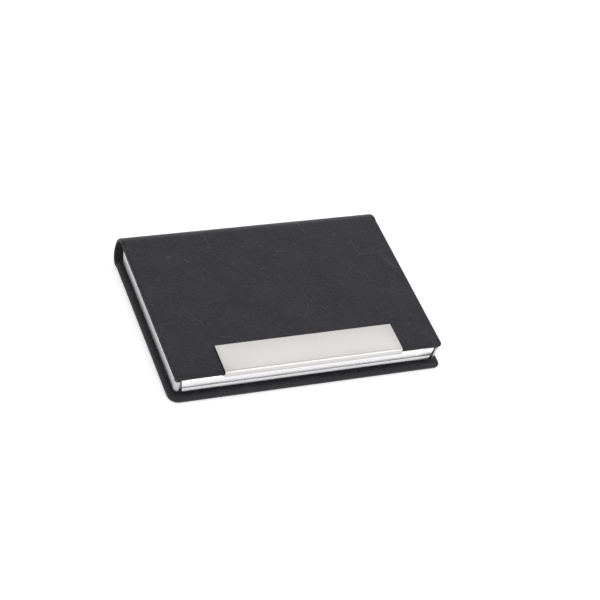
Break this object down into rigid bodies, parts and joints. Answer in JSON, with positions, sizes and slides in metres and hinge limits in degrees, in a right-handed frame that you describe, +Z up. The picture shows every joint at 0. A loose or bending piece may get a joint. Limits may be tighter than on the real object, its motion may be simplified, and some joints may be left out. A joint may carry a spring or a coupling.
{
  "type": "business card case",
  "caption": "Slim book-style business card case with leather-wrapped covers, a steel card tray, a magnetic flanged lid that opens flat on a leather spine, and a plain steel nameplate.",
  "frame": {"origin": "bottom centre of the closed case's bounding box", "axes": "+X right along the long side, -Y the side where the lid opens and the nameplate sits, +Y the spine, +Z up through the lid"},
  "size_m": [0.098, 0.0696, 0.0117],
  "materials": {
    "leather": "charcoal imitation leather with a fine crinkled grain, semi-matt",
    "lining": "thin matt black lining",
    "board": "raw grey-brown stiffening board",
    "adhesive": "pale double-sided adhesive sheet",
    "steel": "bright stainless steel, finely brushed along its length",
    "nameplate_steel": "satin stainless steel",
    "black_plastic": "moulded black plastic",
    "magnet": "nickel-plated neodymium"
  },
  "bodies": {
    "base": {"base_leather": "leather", "base_board": "board", "base_lining": "lining", "tray_adhesive": "adhesive", "card_tray": "steel", "magnet_carrier": "black_plastic", "magnets": "magnet"},
    "spine_1": {"spine_leather_1": "leather", "spine_lining_1": "lining"},
    "spine_2": {"spine_leather_2": "leather", "spine_lining_2": "lining"},
    "lid": {"lid_leather": "leather", "lid_board": "board", "lid_lining": "lining", "lid_adhesive": "adhesive", "lid_plate": "steel", "nameplate_adhesive": "adhesive", "nameplate": "nameplate_steel"}
  },
  "joints": [
    {"name": "spine_bend_1", "type": "hinge", "parent": "base", "child": "spine_1", "pos_m": [0, 0.032, 0.00075], "axis": [-1, 0, 0], "range_deg": [0, 60]},
    {"name": "spine_bend_2", "type": "hinge", "parent": "spine_1", "child": "spine_2", "pos_m": [0, 0.0348, 0.0056], "axis": [-1, 0, 0], "range_deg": [0, 60]},
    {"name": "lid_bend", "type": "hinge", "parent": "spine_2", "child": "lid", "pos_m": [0, 0.032, 0.01045], "axis": [-1, 0, 0], "range_deg": [0, 60]}
  ],
  "couplings": [
    {"joint": "spine_bend_1", "follows": "lid_bend", "ratio": 1},
    {"joint": "spine_bend_2", "follows": "lid_bend", "ratio": 1}
  ]
}
